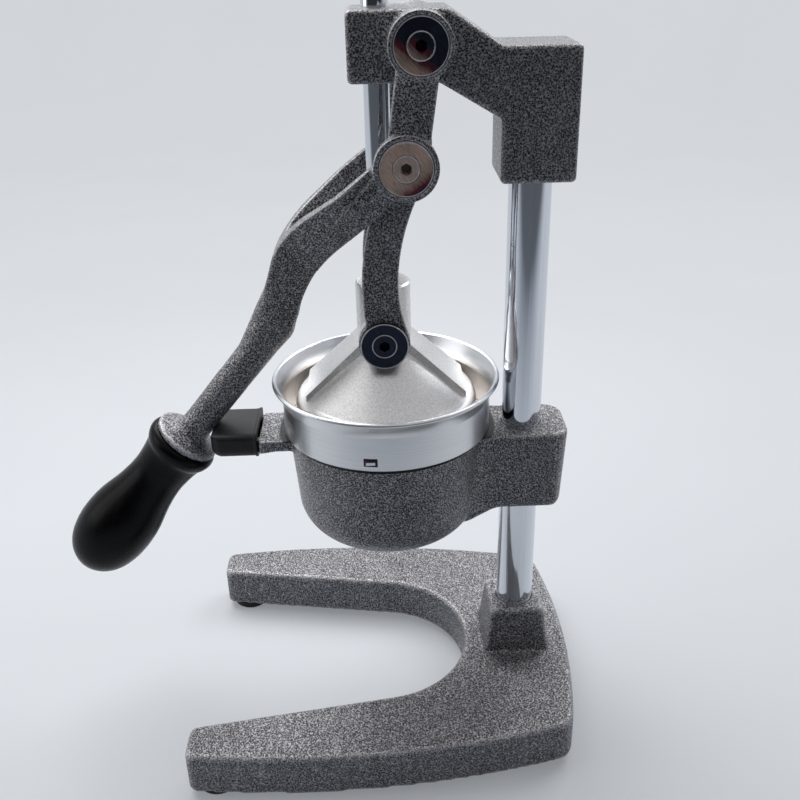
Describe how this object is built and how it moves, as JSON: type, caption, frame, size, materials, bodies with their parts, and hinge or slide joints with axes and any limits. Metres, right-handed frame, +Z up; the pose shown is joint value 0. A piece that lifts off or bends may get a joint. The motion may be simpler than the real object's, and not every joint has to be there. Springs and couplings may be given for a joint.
{
  "type": "lever citrus juice press",
  "caption": "Bench citrus press: cast U-shaped stand, chrome column, toggle lever with black grip, ram with a hollow cone die over a steel cup and strainer.",
  "frame": {"origin": "on the table, under the middle of the press's whole width and length", "axes": "+Z up, -Y towards the user where the lever hangs, +X to the press's right side"},
  "size_m": [0.198, 0.3038, 0.44],
  "materials": {
    "hammertone_paint": "silver-grey hammertone enamel with black speckle on cast iron",
    "chrome_rod": "ground and chromed",
    "cup_steel": "brushed stainless steel",
    "die_aluminium": "satin cast aluminium",
    "pivot_steel": "turned steel",
    "dark_screws": "oiled steel",
    "zinc_fasteners": "zinc plated",
    "grip_plastic": "gloss black moulding",
    "black_rubber": "satin rubber"
  },
  "bodies": {
    "root": {"base": "hammertone_paint", "bumper_sleeve": "black_rubber", "column": "chrome_rod", "column_bolt": "zinc_fasteners", "column_washer": "zinc_fasteners", "filter_cup": "cup_steel", "foot_back_left": "black_rubber", "foot_back_right": "black_rubber", "foot_front_left": "black_rubber", "foot_front_right": "black_rubber", "foot_screws": "zinc_fasteners", "head": "hammertone_paint", "head_set_screws": "dark_screws", "holder": "hammertone_paint", "holder_set_screw": "dark_screws", "strainer": "cup_steel", "upper_pivot_bush_left": "pivot_steel", "upper_pivot_bush_right": "pivot_steel", "upper_pivot_screw_left": "dark_screws", "upper_pivot_screw_right": "dark_screws"},
    "lever": {"elbow_bush_left": "pivot_steel", "elbow_bush_right": "pivot_steel", "elbow_screw_left": "dark_screws", "elbow_screw_right": "dark_screws", "grip": "grip_plastic", "grip_stud": "zinc_fasteners", "lever": "hammertone_paint"},
    "ram": {"die_grub_screw": "dark_screws", "lower_pivot_bush_left": "pivot_steel", "lower_pivot_bush_right": "pivot_steel", "lower_pivot_screw_left": "dark_screws", "lower_pivot_screw_right": "dark_screws", "press_die": "die_aluminium", "ram": "chrome_rod"},
    "links": {"link_left": "hammertone_paint", "link_right": "hammertone_paint"}
  },
  "joints": [
    {"name": "lever_swing", "type": "hinge", "parent": "root", "child": "lever", "pos_m": [0, 0.06347, 0.38811], "axis": [-1, 0, 0], "range_deg": [0, 100]},
    {"name": "ram_slide", "type": "slide", "parent": "root", "child": "ram", "axis": [0, 0, 1], "range_m": [0, 0.07512]},
    {"name": "link_pivot", "type": "hinge", "parent": "ram", "child": "links", "pos_m": [0, 0.04337, 0.2433], "axis": [1, 0, 0], "range_deg": [0, 28.01]}
  ],
  "couplings": [
    {"joint": "ram_slide", "follows": "lever_swing", "m_per_rad": 0.042986},
    {"joint": "link_pivot", "follows": "lever_swing", "ratio": 0.27909}
  ]
}
